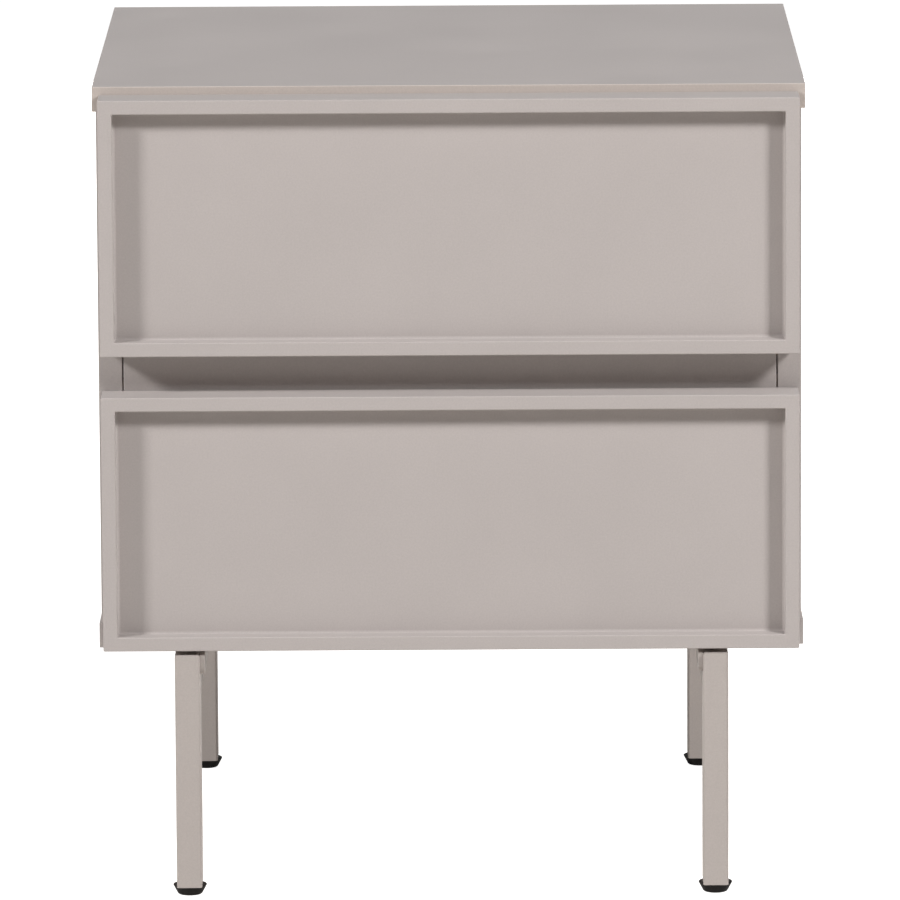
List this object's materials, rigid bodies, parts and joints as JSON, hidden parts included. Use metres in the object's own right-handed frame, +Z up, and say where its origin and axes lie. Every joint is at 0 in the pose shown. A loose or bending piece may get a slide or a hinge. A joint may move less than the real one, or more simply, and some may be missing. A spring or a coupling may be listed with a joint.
{
  "type": "nightstand with drawers",
  "caption": "Bedside cabinet in greige lacquer with stacked drawers that have recessed fronts and a finger gap between them, on slim rectangular-tube leg frames with round black glides.",
  "frame": {"origin": "on the floor, under the centre of the outer box", "axes": "+Z up, drawer fronts face -Y, +X to the right seen from the front"},
  "size_m": [0.45, 0.429, 0.517],
  "materials": {
    "lacquer": "satin greige lacquer on fibreboard",
    "coated_steel": "satin greige powder coat",
    "drawer_board": "matt melamine-faced board",
    "back_board": "matt painted hardboard",
    "zinc_steel": "zinc-plated cold-rolled steel",
    "bright_steel": "bright steel balls in a thin cage",
    "zinc_screw": "zinc-plated",
    "black_plastic": "moulded black plastic",
    "clear_pad": "soft translucent pad",
    "beech": "fluted beech dowel"
  },
  "bodies": {
    "cabinet": {"top_panel": "lacquer", "bottom_panel": "lacquer", "left_side_panel": "lacquer", "right_side_panel": "lacquer", "back_panel": "back_board", "middle_rail": "lacquer", "case_dowels": "beech", "case_screws": "zinc_screw", "bumper_pads": "clear_pad", "left_top_tube": "coated_steel", "left_front_leg": "coated_steel", "left_rear_leg": "coated_steel", "right_top_tube": "coated_steel", "right_front_leg": "coated_steel", "right_rear_leg": "coated_steel", "leg_brackets": "coated_steel", "bracket_screws": "zinc_screw", "left_front_glide": "black_plastic", "left_rear_glide": "black_plastic", "right_front_glide": "black_plastic", "right_rear_glide": "black_plastic", "upper_left_case_rail": "zinc_steel", "upper_right_case_rail": "zinc_steel", "lower_left_case_rail": "zinc_steel", "lower_right_case_rail": "zinc_steel"},
    "upper_drawer": {"upper_front_panel": "lacquer", "upper_rim_top": "lacquer", "upper_rim_bottom": "lacquer", "upper_rim_left": "lacquer", "upper_rim_right": "lacquer", "upper_box_left": "drawer_board", "upper_box_right": "drawer_board", "upper_box_front": "drawer_board", "upper_box_back": "drawer_board", "upper_box_bottom": "drawer_board", "upper_left_drawer_rail": "zinc_steel", "upper_right_drawer_rail": "zinc_steel", "upper_drawer_screws": "zinc_screw"},
    "upper_middle_slides": {"upper_left_middle_slide": "zinc_steel", "upper_right_middle_slide": "zinc_steel"},
    "upper_outer_cages": {"upper_outer_ball_cages": "bright_steel"},
    "upper_inner_cages": {"upper_inner_ball_cages": "bright_steel"},
    "lower_drawer": {"lower_front_panel": "lacquer", "lower_rim_top": "lacquer", "lower_rim_bottom": "lacquer", "lower_rim_left": "lacquer", "lower_rim_right": "lacquer", "lower_box_left": "drawer_board", "lower_box_right": "drawer_board", "lower_box_front": "drawer_board", "lower_box_back": "drawer_board", "lower_box_bottom": "drawer_board", "lower_left_drawer_rail": "zinc_steel", "lower_right_drawer_rail": "zinc_steel", "lower_drawer_screws": "zinc_screw"},
    "lower_middle_slides": {"lower_left_middle_slide": "zinc_steel", "lower_right_middle_slide": "zinc_steel"},
    "lower_outer_cages": {"lower_outer_ball_cages": "bright_steel"},
    "lower_inner_cages": {"lower_inner_ball_cages": "bright_steel"}
  },
  "joints": [
    {"name": "upper_drawer_slide", "type": "slide", "parent": "cabinet", "child": "upper_drawer", "axis": [0, -1, 0], "range_m": [0, 0.34]},
    {"name": "upper_middle_slides_travel", "type": "slide", "parent": "cabinet", "child": "upper_middle_slides", "axis": [0, -1, 0], "range_m": [0, 0.17]},
    {"name": "upper_outer_cages_travel", "type": "slide", "parent": "cabinet", "child": "upper_outer_cages", "axis": [0, -1, 0], "range_m": [0, 0.085]},
    {"name": "upper_inner_cages_travel", "type": "slide", "parent": "cabinet", "child": "upper_inner_cages", "axis": [0, -1, 0], "range_m": [0, 0.255]},
    {"name": "lower_drawer_slide", "type": "slide", "parent": "cabinet", "child": "lower_drawer", "axis": [0, -1, 0], "range_m": [0, 0.34]},
    {"name": "lower_middle_slides_travel", "type": "slide", "parent": "cabinet", "child": "lower_middle_slides", "axis": [0, -1, 0], "range_m": [0, 0.17]},
    {"name": "lower_outer_cages_travel", "type": "slide", "parent": "cabinet", "child": "lower_outer_cages", "axis": [0, -1, 0], "range_m": [0, 0.085]},
    {"name": "lower_inner_cages_travel", "type": "slide", "parent": "cabinet", "child": "lower_inner_cages", "axis": [0, -1, 0], "range_m": [0, 0.255]}
  ],
  "couplings": [
    {"joint": "upper_middle_slides_travel", "follows": "upper_drawer_slide", "ratio": 0.5},
    {"joint": "upper_outer_cages_travel", "follows": "upper_drawer_slide", "ratio": 0.25},
    {"joint": "upper_inner_cages_travel", "follows": "upper_drawer_slide", "ratio": 0.75},
    {"joint": "lower_middle_slides_travel", "follows": "lower_drawer_slide", "ratio": 0.5},
    {"joint": "lower_outer_cages_travel", "follows": "lower_drawer_slide", "ratio": 0.25},
    {"joint": "lower_inner_cages_travel", "follows": "lower_drawer_slide", "ratio": 0.75}
  ]
}
